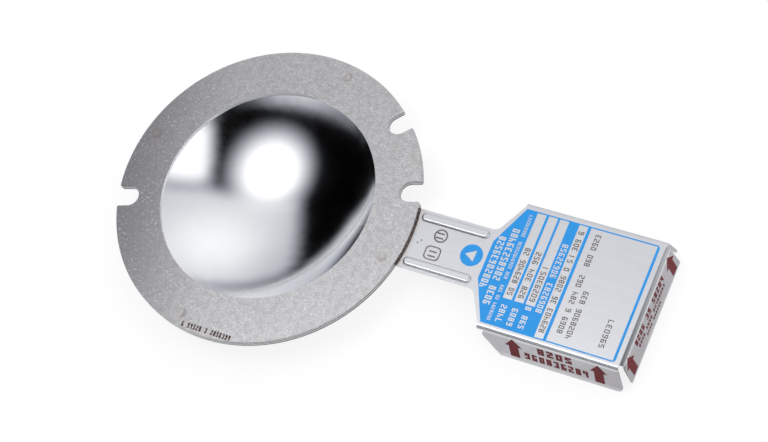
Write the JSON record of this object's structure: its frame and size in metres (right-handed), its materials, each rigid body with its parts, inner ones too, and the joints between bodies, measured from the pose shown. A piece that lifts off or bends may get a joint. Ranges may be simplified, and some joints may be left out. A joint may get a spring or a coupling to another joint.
{
  "type": "rupture disc",
  "caption": "Reverse-acting rupture disc for a 3 inch pipe: a thin domed disc welded between two notched rings, with a folded tag on a ribbed neck.",
  "frame": {"origin": "centre of the outlet ring's bore, on its outlet face", "axes": "+Z the way the gas leaves, +X along the tag's neck, +Y across the tag"},
  "size_m": [0.1998, 0.112, 0.0156],
  "materials": {
    "ring_steel": "satin",
    "disc_sheet": "mirror",
    "tag_steel": "satin",
    "weld_bead": "as welded",
    "blue_ink": "matte",
    "brown_ink": "matte",
    "red_ink": "matte"
  },
  "bodies": {
    "root": {"outlet_ring": "ring_steel", "inlet_ring": "ring_steel", "burst_disc": "disc_sheet", "name_tag": "tag_steel", "tag_weld": "weld_bead", "face_print": "blue_ink", "typed_marks": "brown_ink", "flow_print": "red_ink"}
  },
  "joints": []
}
